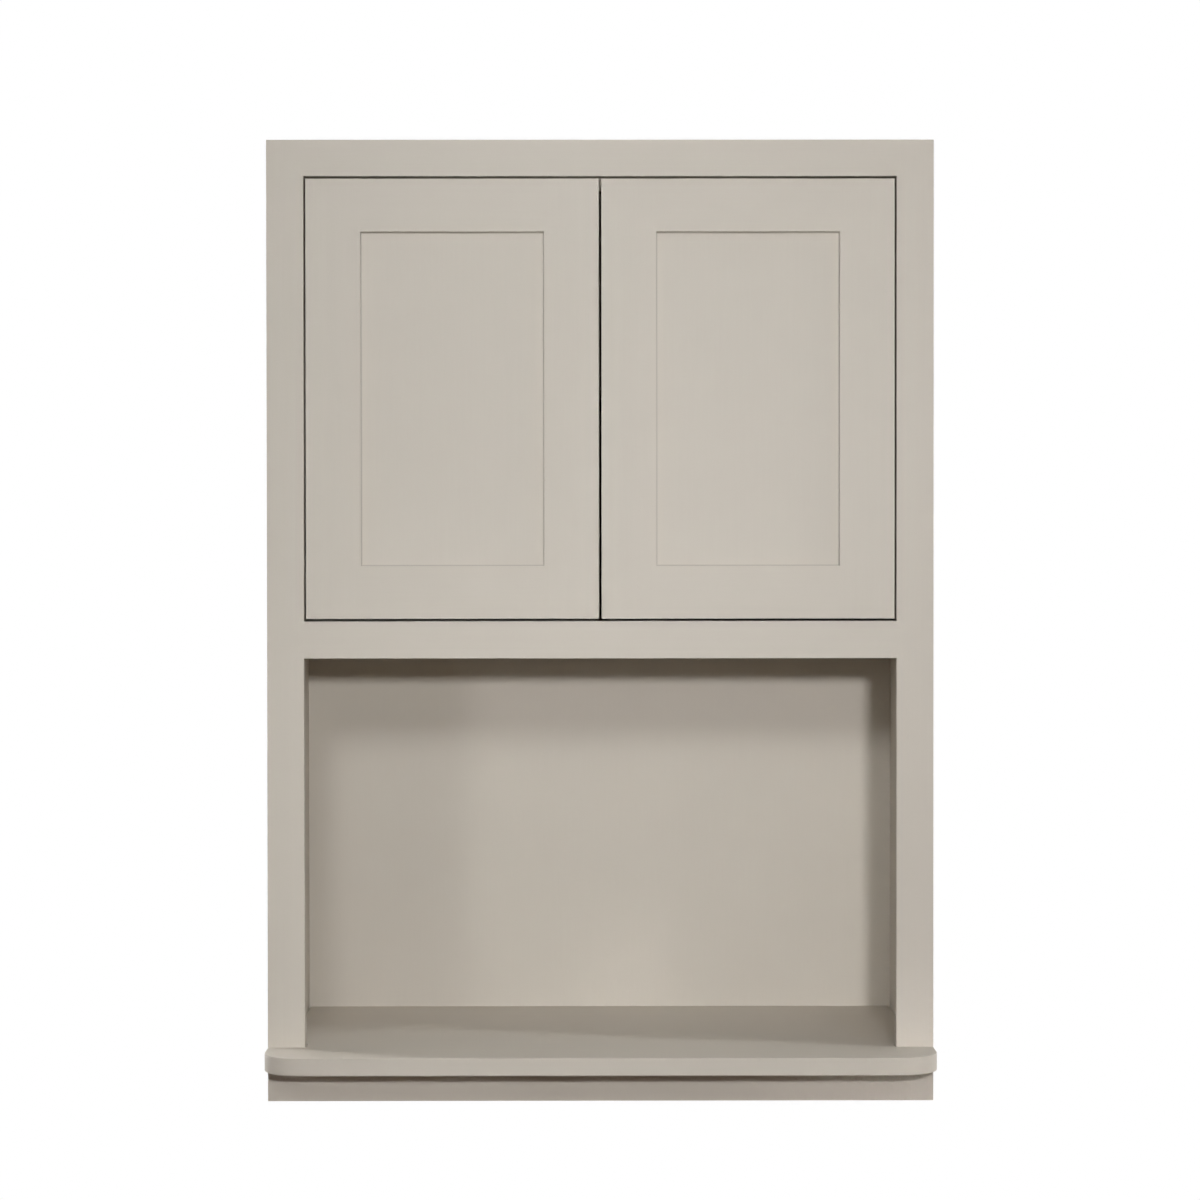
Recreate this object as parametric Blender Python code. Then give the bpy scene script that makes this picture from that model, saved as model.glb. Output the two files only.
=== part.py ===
"""Microwave wall cabinet: a face-frame kitchen unit with two flush inset doors over an open appliance bay.

Metres, +Z up. The front looks along -Y, the wall is the plane y = 0, and the origin is the centre of
the upper hanging rail's back face. Plan positions at a door are given as (u, v): u runs from the frame
stile's inner edge towards the middle of the opening, v from the frame's front face into the cabinet.
"""
import math

import bmesh
import bpy
from mathutils import Matrix, Vector

MM = 0.001

# Cabinet
WIDTH = 685.8 * MM
DEPTH = 304.8 * MM
DOOR_OPENING_H = 457.0 * MM
BAY_OPENING_H = 400.5 * MM

# Face frame
FRAME_T = 19.0 * MM
FRAME_STILE_W = 38.1 * MM
TOP_RAIL_H = 37.5 * MM
MIDDLE_RAIL_H = 38.5 * MM
BOTTOM_RAIL_H = 37.5 * MM
FRAME_EASE = 0.6 * MM

# Carcass
SIDE_T = 15.9 * MM
TOP_T = 12.7 * MM
TOP_ABOVE_OPENING = 18.0 * MM
DECK_T = 15.9 * MM
BACK_T = 6.0 * MM
DADO = 6.0 * MM
HANGING_RAIL_T = 18.0 * MM
HANGING_RAIL_H = 75.0 * MM
CLEAT_T = 18.0 * MM
CLEAT_H = 25.0 * MM
STOP_T = 12.0 * MM
STOP_BELOW_OPENING = 13.0 * MM
STOP_END_INSET = 105.0 * MM

# Microwave shelf
SHELF_T = 18.0 * MM
SHELF_PROJECTION = 69.0 * MM
SHELF_CORNER_R = 40.0 * MM
SHELF_END_GAP = 2.0 * MM
SHELF_NOTCH_GAP = 1.2 * MM
SHELF_EASE = 0.8 * MM

# Doors
DOOR_T = 19.0 * MM
DOOR_STILE_W = 56.5 * MM
DOOR_RAIL_H = 54.5 * MM
DOOR_EASE = 1.0 * MM
DOOR_SIDE_GAP = 2.0 * MM
DOOR_TOP_GAP = 2.3 * MM
DOOR_BOTTOM_GAP = 2.4 * MM
DOOR_MEETING_GAP = 2.6 * MM
PANEL_T = 6.0 * MM
PANEL_RECESS = 6.5 * MM
PANEL_GROOVE = 9.5 * MM
PANEL_FLOAT = 1.0 * MM

# Concealed cup hinges
HINGE_END_INSET = 90.0 * MM
AXIS_IN = 26.0 * MM
AXIS_DEPTH = 9.8 * MM
PIN_R = 1.8 * MM
PIN_RUNNING_FIT = 0.08 * MM
BARREL_WALL = 1.0 * MM
CUP_R = 17.2 * MM
CUP_WALL = 0.8 * MM
CUP_DEPTH = 13.2 * MM
CUP_EDGE = 8.0 * MM
FLANGE_T = 1.2 * MM
FLANGE_R = 19.4 * MM
FLANGE_W = 20.0 * MM
FLANGE_LENGTH = 64.0 * MM
FLANGE_SCREW_PITCH = 48.0 * MM
ARM_T = 2.5 * MM
ARM_W = 12.0 * MM
ARM_LENGTH = 78.0 * MM
ARM_ANGLE = math.radians(40.8)
NECK_REACH = 18.5 * MM
NECK_TURN = 33.0 * MM
NECK_R = 7.0 * MM
PLATE_T = 3.0 * MM
PLATE_LENGTH = 42.0 * MM
PLATE_W = 18.0 * MM
PLATE_WING = 48.0 * MM
PLATE_WING_W = 15.0 * MM
PLATE_SCREW_PITCH = 32.0 * MM
BLOCK_H = 64.0 * MM
BLOCK_DEPTH = 76.0 * MM
SCREW_R = 2.1 * MM

# Adjustable shelf on pins
LOOSE_SHELF_T = 15.9 * MM
LOOSE_SHELF_SETBACK = 42.0 * MM
LOOSE_SHELF_END_GAP = 1.5 * MM
PIN_HOLE_R = 2.55 * MM
PIN_HOLE_DEPTH = 9.5 * MM
PIN_HOLE_PITCH = 32.0 * MM
PIN_HOLES = 5
PIN_ROW_INSET = 45.0 * MM
SHELF_PIN_R = 2.4 * MM
SHELF_PIN_COLLAR_R = 4.2 * MM
SHELF_PIN_COLLAR_T = 1.2 * MM
SHELF_PIN_PEG = 9.0 * MM

# Fits
GLUE = 0.1 * MM
GAP = 0.3 * MM
FIT = 0.2 * MM
CUT_OVER = 2.0 * MM

# Levels, from the cabinet's underside and then from the origin
HEIGHT = TOP_RAIL_H + DOOR_OPENING_H + MIDDLE_RAIL_H + BAY_OPENING_H + SHELF_T + BOTTOM_RAIL_H
HANGING_TOP = HEIGHT - TOP_RAIL_H + TOP_ABOVE_OPENING - GLUE
BOTTOM = HANGING_RAIL_H / 2 - HANGING_TOP
TOP = BOTTOM + HEIGHT
SHELF_BOTTOM = BOTTOM + BOTTOM_RAIL_H
SHELF_TOP = SHELF_BOTTOM + SHELF_T
BAY_TOP = SHELF_TOP + BAY_OPENING_H
OPENING_BOTTOM = BAY_TOP + MIDDLE_RAIL_H
OPENING_TOP = OPENING_BOTTOM + DOOR_OPENING_H
TOP_PANEL_BOTTOM = OPENING_TOP + TOP_ABOVE_OPENING
DOOR_BOTTOM = OPENING_BOTTOM + DOOR_BOTTOM_GAP
DOOR_TOP = OPENING_TOP - DOOR_TOP_GAP

# Depths
FRONT = -DEPTH
FRAME_BACK = FRONT + FRAME_T
CARCASS_FRONT = FRAME_BACK + GLUE
RAIL_FACE = -HANGING_RAIL_T
BACK_REAR = RAIL_FACE - GLUE
BACK_FRONT = BACK_REAR - BACK_T
INSIDE_REAR = BACK_FRONT - GLUE

# Widths
HALF = WIDTH / 2
SIDE_INNER = HALF - SIDE_T
HALF_OPENING = HALF - FRAME_STILE_W
DOOR_W = HALF_OPENING - DOOR_SIDE_GAP - DOOR_MEETING_GAP / 2

# Hinge places, as (u, v) and heights
AXIS_U = DOOR_SIDE_GAP + AXIS_IN
CUP_U = DOOR_SIDE_GAP + CUP_EDGE + CUP_R + GAP
FLANGE_SEAT = DOOR_T + GLUE
FOOT_U = GLUE + PLATE_T + GLUE + ARM_T / 2
BARREL_R = PIN_R + PIN_RUNNING_FIT + BARREL_WALL
NECK_V = AXIS_DEPTH + NECK_REACH * math.tan(ARM_ANGLE)
PLATE_FRONT = AXIS_DEPTH + NECK_TURN
HINGE_LEVELS = (("upper", DOOR_TOP - HINGE_END_INSET), ("lower", DOOR_BOTTOM + HINGE_END_INSET))
HANDS = (("left", -1), ("right", 1))

# Adjustable shelf places
LOOSE_SHELF_FRONT = FRONT + LOOSE_SHELF_SETBACK
PIN_ROWS = (LOOSE_SHELF_FRONT + PIN_ROW_INSET, INSIDE_REAR - PIN_ROW_INSET)
PIN_HOLE_MIDDLE = (OPENING_BOTTOM + OPENING_TOP) / 2
LOOSE_SHELF_BOTTOM = PIN_HOLE_MIDDLE + SHELF_PIN_R + GLUE

# Finishes: colour, roughness, metallic
PAINT = ((0.533, 0.480, 0.423), 0.42, 0.0)
STEEL = ((0.560, 0.555, 0.540), 0.30, 1.0)

ROUND_STEPS = 3
FLANGE_ARC_STEPS = 10
CIRCLE = 32
HOLE_CIRCLE = 16


def clear_scene():
    for obj in list(bpy.data.objects):
        bpy.data.objects.remove(obj, do_unlink=True)


def collection(name):
    made = bpy.data.collections.new(name)
    bpy.context.scene.collection.children.link(made)
    return made


def finish_material(name, finish):
    colour, roughness, metallic = finish
    material = bpy.data.materials.new(name)
    material.use_nodes = True
    shader = material.node_tree.nodes["Principled BSDF"]
    shader.inputs["Base Color"].default_value = (*colour, 1.0)
    shader.inputs["Roughness"].default_value = roughness
    shader.inputs["Metallic"].default_value = metallic
    material.diffuse_color = (*colour, 1.0)
    return material


def make_object(name, bm, finish=None, pivot=None):
    """Turn a bmesh into a part, or into a hidden cutter when it has no finish."""
    bmesh.ops.recalc_face_normals(bm, faces=bm.faces)
    mesh = bpy.data.meshes.new(name)
    if pivot is not None:
        bmesh.ops.translate(bm, verts=bm.verts, vec=-pivot.location)
    bm.to_mesh(mesh)
    bm.free()
    obj = bpy.data.objects.new(name, mesh)
    if finish is None:
        cutters.objects.link(obj)
        obj.hide_render = True
        obj.display_type = "WIRE"
    else:
        parts.objects.link(obj)
        mesh.materials.append(finish_material(name + "_finish", finish))
    if pivot is not None:
        obj.parent = pivot
    return obj


def filleted(corners, steps=ROUND_STEPS, closed=True):
    """Points of a path whose corners (a, b, radius) are rounded with arcs."""
    points = []
    count = len(corners)
    for index, (a, b, radius) in enumerate(corners):
        corner = Vector((a, b))
        ends = not closed and index in (0, count - 1)
        if radius <= 0 or ends:
            points.append(corner)
            continue
        before = (Vector(corners[index - 1][:2]) - corner).normalized()
        after = (Vector(corners[(index + 1) % count][:2]) - corner).normalized()
        half = before.angle(after) / 2
        centre = corner + (before + after).normalized() * (radius / math.sin(half))
        start = corner + before * (radius / math.tan(half)) - centre
        sweep = start.angle_signed(corner + after * (radius / math.tan(half)) - centre)
        for step in range(steps + 1):
            turn = -sweep * step / steps
            cos, sin = math.cos(turn), math.sin(turn)
            points.append(centre + Vector((start.x * cos - start.y * sin, start.x * sin + start.y * cos)))
    return points


def prism_bmesh(outline, axis, low, high):
    """Extrude an outline along X (outline in y, z), Y (x, z) or Z (x, y)."""
    place = {
        "X": lambda a, b: (low, a, b),
        "Y": lambda a, b: (a, low, b),
        "Z": lambda a, b: (a, b, low),
    }[axis]
    travel = Vector([high - low if letter == axis else 0.0 for letter in "XYZ"])
    bm = bmesh.new()
    face = bm.faces.new([bm.verts.new(place(a, b)) for a, b in outline])
    grown = bmesh.ops.extrude_face_region(bm, geom=[face])
    moved = [item for item in grown["geom"] if isinstance(item, bmesh.types.BMVert)]
    bmesh.ops.translate(bm, verts=moved, vec=travel)
    return bm


def prism(name, outline, axis, low, high, finish=None, pivot=None):
    return make_object(name, prism_bmesh(outline, axis, low, high), finish, pivot)


def block(name, x, y, z, finish=None, pivot=None):
    outline = [(x[0], y[0]), (x[1], y[0]), (x[1], y[1]), (x[0], y[1])]
    return prism(name, outline, "Z", z[0], z[1], finish, pivot)


def rod(name, centre, axis, radius, length, finish=None, pivot=None, sides=CIRCLE):
    """A cylinder centred on a point, along X, Y or Z."""
    bm = bmesh.new()
    turn = {"X": Matrix.Rotation(math.pi / 2, 4, "Y"), "Y": Matrix.Rotation(math.pi / 2, 4, "X"), "Z": Matrix()}
    place = Matrix.Translation(centre) @ turn[axis]
    bmesh.ops.create_cone(
        bm, cap_ends=True, segments=sides, radius1=radius, radius2=radius, depth=length, matrix=place
    )
    return make_object(name, bm, finish, pivot)


def boolean(target, tool, operation):
    modifier = target.modifiers.new(tool.name, "BOOLEAN")
    modifier.object = tool
    modifier.operation = operation
    modifier.solver = "EXACT"


def cut(target, tool):
    boolean(target, tool, "DIFFERENCE")


def weld(target, tool):
    boolean(target, tool, "UNION")


def plan(hand, u, v):
    """Plan point (x, y) of a place (u, v) at the left or right door."""
    return hand * (HALF_OPENING - u), FRONT + v


def plan_range(hand, u_low, u_high):
    return sorted((hand * (HALF_OPENING - u_low), hand * (HALF_OPENING - u_high)))


def side_panel(label, hand):
    """Side with grooves for the back, deck and top, and two rows of shelf-pin holes."""
    name = label + "_side_panel"
    x = sorted((hand * HALF, hand * SIDE_INNER))
    panel = block(name, x, (CARCASS_FRONT, 0.0), (BOTTOM, TOP), PAINT)
    groove = sorted((hand * (SIDE_INNER - CUT_OVER), hand * (SIDE_INNER + DADO + FIT)))
    levels = (OPENING_BOTTOM - DECK_T - FIT, OPENING_BOTTOM + FIT)
    cut(panel, block(name + "_deck_dado", groove, (CARCASS_FRONT - CUT_OVER, BACK_FRONT), levels))
    levels = (TOP_PANEL_BOTTOM - FIT, TOP_PANEL_BOTTOM + TOP_T + FIT)
    cut(panel, block(name + "_top_dado", groove, (CARCASS_FRONT - CUT_OVER, CUT_OVER), levels))
    levels = (BOTTOM - CUT_OVER, TOP_PANEL_BOTTOM)
    cut(panel, block(name + "_back_groove", groove, (BACK_FRONT - FIT, BACK_REAR + FIT), levels))
    middle = hand * (SIDE_INNER + (PIN_HOLE_DEPTH - CUT_OVER) / 2)
    for row, y in enumerate(PIN_ROWS):
        for index in range(PIN_HOLES):
            z = PIN_HOLE_MIDDLE + (index - (PIN_HOLES - 1) / 2) * PIN_HOLE_PITCH
            hole_name = f"{name}_pin_hole_{row}_{index}"
            length = PIN_HOLE_DEPTH + CUT_OVER
            cut(panel, rod(hole_name, (middle, y, z), "X", PIN_HOLE_R, length, sides=HOLE_CIRCLE))


def carcass():
    for label, hand in HANDS:
        side_panel(label, hand)
    in_dado = (-(SIDE_INNER + DADO), SIDE_INNER + DADO)
    between = (-(SIDE_INNER - GLUE), SIDE_INNER - GLUE)
    top_levels = (TOP_PANEL_BOTTOM, TOP_PANEL_BOTTOM + TOP_T)
    block("top_panel", in_dado, (CARCASS_FRONT, 0.0), top_levels, PAINT)
    deck_levels = (OPENING_BOTTOM - DECK_T, OPENING_BOTTOM)
    block("mid_deck", in_dado, (CARCASS_FRONT, INSIDE_REAR), deck_levels, PAINT)
    block("back_panel", in_dado, (BACK_FRONT, BACK_REAR), (BOTTOM, TOP_PANEL_BOTTOM - GLUE), PAINT)
    upper = (-HANGING_RAIL_H / 2, HANGING_RAIL_H / 2)
    block("upper_hanging_rail", between, (RAIL_FACE, 0.0), upper, PAINT)
    block("lower_hanging_rail", between, (RAIL_FACE, 0.0), (BOTTOM, BOTTOM + HANGING_RAIL_H), PAINT)
    stop = (-(HALF_OPENING - STOP_END_INSET), HALF_OPENING - STOP_END_INSET)
    stop_levels = (OPENING_TOP - STOP_BELOW_OPENING, TOP_PANEL_BOTTOM - GLUE)
    block("door_stop_strip", stop, (CARCASS_FRONT, CARCASS_FRONT + STOP_T), stop_levels, PAINT)
    for label, hand in HANDS:
        x = sorted((hand * (SIDE_INNER - GLUE), hand * (SIDE_INNER - CLEAT_T)))
        levels = (SHELF_BOTTOM - CLEAT_H, SHELF_BOTTOM - GLUE)
        block(label + "_shelf_cleat", x, (CARCASS_FRONT, INSIDE_REAR), levels, PAINT)


def microwave_shelf():
    """Board notched round the frame stiles, with ears in front of them and rounded front corners."""
    rear_half = SIDE_INNER - SHELF_END_GAP
    notch_half = HALF_OPENING - SHELF_NOTCH_GAP
    ear_rear = FRONT - GAP
    nose = FRONT - SHELF_PROJECTION
    right = [
        (HALF, nose, SHELF_CORNER_R),
        (HALF, ear_rear, 0.0),
        (notch_half, ear_rear, 0.0),
        (notch_half, FRAME_BACK + SHELF_NOTCH_GAP, 0.0),
        (rear_half, FRAME_BACK + SHELF_NOTCH_GAP, 0.0),
        (rear_half, INSIDE_REAR, 0.0),
    ]
    left = [(-x, y, radius) for x, y, radius in reversed(right)]
    bm = prism_bmesh(filleted(right + left, steps=10), "Z", SHELF_BOTTOM, SHELF_TOP)
    front = [
        edge
        for edge in bm.edges
        if min(vert.co.y for vert in edge.verts) < ear_rear - GLUE
        and abs(edge.verts[0].co.z - edge.verts[1].co.z) < GLUE
    ]
    bmesh.ops.bevel(bm, geom=front, offset=SHELF_EASE, segments=2, profile=0.5, affect="EDGES")
    make_object("microwave_shelf", bm, PAINT)


def face_frame():
    """Two full-height stiles with three rails between them, front arrises eased."""
    for label, hand in HANDS:
        outer, inner = hand * HALF, hand * HALF_OPENING
        outline = filleted(
            [
                (outer, FRONT, FRAME_EASE),
                (inner, FRONT, FRAME_EASE),
                (inner, FRAME_BACK, 0.0),
                (outer, FRAME_BACK, 0.0),
            ]
        )
        prism(label + "_frame_stile", outline, "Z", BOTTOM, TOP, PAINT)
    rails = (
        ("top_frame_rail", OPENING_TOP, TOP, FRAME_EASE, FRAME_EASE),
        ("middle_frame_rail", BAY_TOP, OPENING_BOTTOM, FRAME_EASE, FRAME_EASE),
        ("bottom_frame_rail", BOTTOM, SHELF_BOTTOM - GLUE, FRAME_EASE, 0.0),
    )
    for name, low, high, low_ease, high_ease in rails:
        corners = [
            (FRONT, low, low_ease),
            (FRAME_BACK, low, 0.0),
            (FRAME_BACK, high, 0.0),
            (FRONT, high, high_ease),
        ]
        prism(name, filleted(corners), "X", -(HALF_OPENING - GLUE), HALF_OPENING - GLUE, PAINT)


def grooved_section(width):
    """Section of a door frame member: outer edge at 0, panel groove in the inner edge at width."""
    near = PANEL_RECESS - FIT
    far = PANEL_RECESS + PANEL_T + FIT
    return [
        (0.0, 0.0, DOOR_EASE),
        (width, 0.0, DOOR_EASE / 2),
        (width, near, 0.0),
        (width - PANEL_GROOVE, near, 0.0),
        (width - PANEL_GROOVE, far, 0.0),
        (width, far, 0.0),
        (width, DOOR_T, 0.0),
        (0.0, DOOR_T, 0.0),
    ]


def door_stiles(label, hand, pivot):
    section = filleted(grooved_section(DOOR_STILE_W))
    hinge_edge = DOOR_SIDE_GAP
    meeting_edge = DOOR_SIDE_GAP + DOOR_W
    outline = [plan(hand, hinge_edge + s, v) for s, v in section]
    hinge_stile = prism(label + "_door_hinge_stile", outline, "Z", DOOR_BOTTOM, DOOR_TOP, PAINT, pivot)
    outline = [plan(hand, meeting_edge - s, v) for s, v in section]
    prism(label + "_door_meeting_stile", outline, "Z", DOOR_BOTTOM, DOOR_TOP, PAINT, pivot)
    for level, z in HINGE_LEVELS:
        depth = CUP_DEPTH + GAP
        x, y = plan(hand, CUP_U, DOOR_T - depth + (depth + CUT_OVER) / 2)
        bore = rod(f"{label}_{level}_cup_bore", (x, y, z), "Y", CUP_R + GAP, depth + CUT_OVER, pivot=pivot)
        cut(hinge_stile, bore)


def door_rails(label, hand, pivot):
    section = filleted(grooved_section(DOOR_RAIL_H))
    inner = DOOR_SIDE_GAP + DOOR_STILE_W
    outer = DOOR_SIDE_GAP + DOOR_W - DOOR_STILE_W
    shoulders = plan_range(hand, inner + GLUE, outer - GLUE)
    tenon = PANEL_GROOVE - GLUE
    ends = plan_range(hand, inner - tenon, outer + tenon)
    tenon_v = (FRONT + PANEL_RECESS, FRONT + PANEL_RECESS + PANEL_T)
    tenon_h = DOOR_RAIL_H - PANEL_GROOVE - GAP
    for name, edge, way in (("top", DOOR_TOP, -1), ("bottom", DOOR_BOTTOM, 1)):
        outline = [(FRONT + v, edge + way * h) for h, v in section]
        rail = prism(f"{label}_door_{name}_rail", outline, "X", *shoulders, PAINT, pivot)
        levels = sorted((edge + way * DOOR_EASE, edge + way * tenon_h))
        weld(rail, block(f"{label}_door_{name}_tenon", ends, tenon_v, levels, pivot=pivot))


def door_panel(label, hand, pivot):
    lap = PANEL_GROOVE - PANEL_FLOAT
    inner = DOOR_SIDE_GAP + DOOR_STILE_W - lap
    outer = DOOR_SIDE_GAP + DOOR_W - DOOR_STILE_W + lap
    x = plan_range(hand, inner, outer)
    z = (DOOR_BOTTOM + DOOR_RAIL_H - lap, DOOR_TOP - DOOR_RAIL_H + lap)
    y = (FRONT + PANEL_RECESS, FRONT + PANEL_RECESS + PANEL_T)
    block(label + "_door_panel", x, y, z, PAINT, pivot)


def screw_holes(target, centres, axis, depth, pivot=None):
    for index, centre in enumerate(centres):
        name = f"{target.name}_screw_hole_{index}"
        cut(target, rod(name, centre, axis, SCREW_R, depth, pivot=pivot, sides=HOLE_CIRCLE))


def flange_outline(x, z):
    """Round rim of the cup with a screw wing above and below, as (x, z) corners."""
    half_w, half_l = FLANGE_W / 2, FLANGE_LENGTH / 2
    meet = math.acos(half_w / FLANGE_R)
    arc = [meet * (1 - 2 * step / FLANGE_ARC_STEPS) for step in range(FLANGE_ARC_STEPS + 1)]
    right = [(half_w, half_l, FLANGE_W / 4)]
    right += [(FLANGE_R * math.cos(turn), FLANGE_R * math.sin(turn), 0.0) for turn in arc]
    right += [(half_w, -half_l, FLANGE_W / 4)]
    left = [(-a, -b, radius) for a, b, radius in right]
    return [(x + a, z + b) for a, b in filleted(right + left)]


def hinge_cup(name, hand, z, pivot):
    """Pressed cup let into the door's back, hanging from its screw flange."""
    x, seat = plan(hand, CUP_U, FLANGE_SEAT)
    cup = prism(name, flange_outline(x, z), "Y", seat, seat + FLANGE_T, STEEL, pivot)
    floor = FRONT + DOOR_T - CUP_DEPTH
    in_flange = seat + FLANGE_T / 2
    weld(cup, rod(name + "_body", (x, (floor + in_flange) / 2, z), "Y", CUP_R, in_flange - floor, pivot=pivot))
    low, high = floor + CUP_WALL, seat + FLANGE_T + CUT_OVER
    hollow_r = CUP_R - CUP_WALL
    cut(cup, rod(name + "_hollow", (x, (low + high) / 2, z), "Y", hollow_r, high - low, pivot=pivot))
    centres = [(x, seat, z + way * FLANGE_SCREW_PITCH / 2) for way in (-1, 1)]
    screw_holes(cup, centres, "Y", 4 * FLANGE_T, pivot)


def hinge_pin(name, hand, z, pivot):
    x, y = plan(hand, AXIS_U, AXIS_DEPTH)
    hollow_r = CUP_R - CUP_WALL - GAP
    chord = math.sqrt(hollow_r**2 - (abs(AXIS_U - CUP_U) + PIN_R) ** 2)
    rod(name, (x, y, z), "Z", PIN_R, 2 * chord, STEEL, pivot)


def strip_outline(path, thickness):
    """Outline of a bent strip of one thickness along a path."""
    near, far = [], []
    for index, point in enumerate(path):
        before = path[max(index - 1, 0)]
        after = path[min(index + 1, len(path) - 1)]
        along = (after - before).normalized()
        across = Vector((-along.y, along.x)) * thickness / 2
        near.append(point + across)
        far.append(point - across)
    return near + far[::-1]


def hinge_arm(name, hand, z):
    """Swan-neck arm: out of the cup, round the open door's edge and back to the plate."""
    corners = [
        (AXIS_U, AXIS_DEPTH, 0.0),
        (AXIS_U + NECK_REACH, NECK_V, NECK_R),
        (AXIS_U + NECK_REACH, AXIS_DEPTH + NECK_TURN, NECK_R),
        (FOOT_U, AXIS_DEPTH + NECK_TURN + NECK_R, NECK_R),
        (FOOT_U, AXIS_DEPTH + ARM_LENGTH, 0.0),
    ]
    outline = strip_outline(filleted(corners, steps=6, closed=False), ARM_T)
    low, high = z - ARM_W / 2, z + ARM_W / 2
    arm = prism(name, [plan(hand, u, v) for u, v in outline], "Z", low, high, STEEL)
    x, y = plan(hand, AXIS_U, AXIS_DEPTH)
    weld(arm, rod(name + "_barrel", (x, y, z), "Z", BARREL_R, ARM_W + 2 * FIT))
    cut(arm, rod(name + "_bore", (x, y, z), "Z", PIN_R + PIN_RUNNING_FIT, 2 * ARM_W))
    x, y = plan(hand, FOOT_U, PLATE_FRONT + PLATE_LENGTH * 2 / 3)
    screw_holes(arm, [(x, y, z)], "X", 3 * ARM_T)


def hinge_plate(name, hand, z):
    """Cross-shaped mounting plate on the hinge block, its wings drilled for two screws."""
    rear = PLATE_FRONT + PLATE_LENGTH
    middle = PLATE_FRONT + PLATE_LENGTH / 2
    bar, wing, half_wing = PLATE_W / 2, PLATE_WING / 2, PLATE_WING_W / 2
    corner_r = PLATE_T / 2
    upper = [
        (PLATE_FRONT, bar, corner_r),
        (middle - half_wing, bar, 0.0),
        (middle - half_wing, wing, corner_r),
        (middle + half_wing, wing, corner_r),
        (middle + half_wing, bar, 0.0),
        (rear, bar, corner_r),
    ]
    lower = [(v, -h, radius) for v, h, radius in reversed(upper)]
    outline = [(FRONT + v, z + h) for v, h in filleted(upper + lower)]
    plate = prism(name, outline, "X", *plan_range(hand, GLUE, GLUE + PLATE_T), STEEL)
    x, y = plan(hand, GLUE + PLATE_T / 2, middle)
    screw_holes(plate, [(x, y, z + way * PLATE_SCREW_PITCH / 2) for way in (-1, 1)], "X", 3 * PLATE_T)


def hinge_block(name, hand, z):
    """Filler on the side panel that brings the plate out flush with the frame stile."""
    x = sorted((hand * HALF_OPENING, hand * (SIDE_INNER - GLUE)))
    levels = (z - BLOCK_H / 2, z + BLOCK_H / 2)
    block(name, x, (CARCASS_FRONT, CARCASS_FRONT + BLOCK_DEPTH), levels, PAINT)


def door(label, hand):
    pivot = bpy.data.objects.new(label + "_door_axis", None)
    parts.objects.link(pivot)
    pivot.location = (*plan(hand, AXIS_U, AXIS_DEPTH), (DOOR_BOTTOM + DOOR_TOP) / 2)
    door_stiles(label, hand, pivot)
    door_rails(label, hand, pivot)
    door_panel(label, hand, pivot)
    for level, z in HINGE_LEVELS:
        stem = f"{label}_{level}_hinge_"
        hinge_cup(stem + "cup", hand, z, pivot)
        hinge_pin(stem + "pin", hand, z, pivot)
        hinge_arm(stem + "arm", hand, z)
        hinge_plate(stem + "plate", hand, z)
        hinge_block(stem + "block", hand, z)


def lathe(name, profile, centre, way, finish):
    """Revolve (distance, radius) steps about an axis along +X or -X."""
    bm = bmesh.new()
    rings = []
    for distance, radius in profile:
        ring = []
        for index in range(HOLE_CIRCLE):
            turn = 2 * math.pi * index / HOLE_CIRCLE
            offset = Vector((way * distance, radius * math.cos(turn), radius * math.sin(turn)))
            ring.append(bm.verts.new(Vector(centre) + offset))
        rings.append(ring)
    for near, far in zip(rings, rings[1:]):
        for index in range(HOLE_CIRCLE):
            following = (index + 1) % HOLE_CIRCLE
            bm.faces.new((near[index], near[following], far[following], far[index]))
    bm.faces.new(rings[0])
    bm.faces.new(rings[-1])
    make_object(name, bm, finish)


def adjustable_shelf():
    """Loose shelf of the door compartment, resting on four pins in the sides."""
    half = SIDE_INNER - LOOSE_SHELF_END_GAP
    levels = (LOOSE_SHELF_BOTTOM, LOOSE_SHELF_BOTTOM + LOOSE_SHELF_T)
    block("adjustable_shelf", (-half, half), (LOOSE_SHELF_FRONT, INSIDE_REAR - GAP), levels, PAINT)
    collar = SHELF_PIN_COLLAR_R
    shank = PIN_HOLE_DEPTH - GAP
    profile = [
        (-shank, SHELF_PIN_R),
        (GLUE, SHELF_PIN_R),
        (GLUE, collar),
        (GLUE + SHELF_PIN_COLLAR_T, collar),
        (GLUE + SHELF_PIN_COLLAR_T, SHELF_PIN_R),
        (GLUE + SHELF_PIN_COLLAR_T + SHELF_PIN_PEG, SHELF_PIN_R),
    ]
    for label, hand in HANDS:
        for place, y in zip(("front", "rear"), PIN_ROWS):
            seat = (hand * SIDE_INNER, y, PIN_HOLE_MIDDLE)
            lathe(f"{label}_{place}_shelf_pin", profile, seat, -hand, STEEL)


clear_scene()
parts = collection("microwave_wall_cabinet")
cutters = collection("cutters")
carcass()
microwave_shelf()
face_frame()
for hinge_side, hinge_hand in HANDS:
    door(hinge_side, hinge_hand)
adjustable_shelf()
bpy.context.view_layer.update()
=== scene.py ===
"""Looks of the microwave wall cabinet.

Sprayed satin paint, bare birch plywood towards the wall, plated hinges and screws. Metres, +Z up, the front
looks along -Y and the wall is y = 0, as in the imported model.
"""

import math

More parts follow.
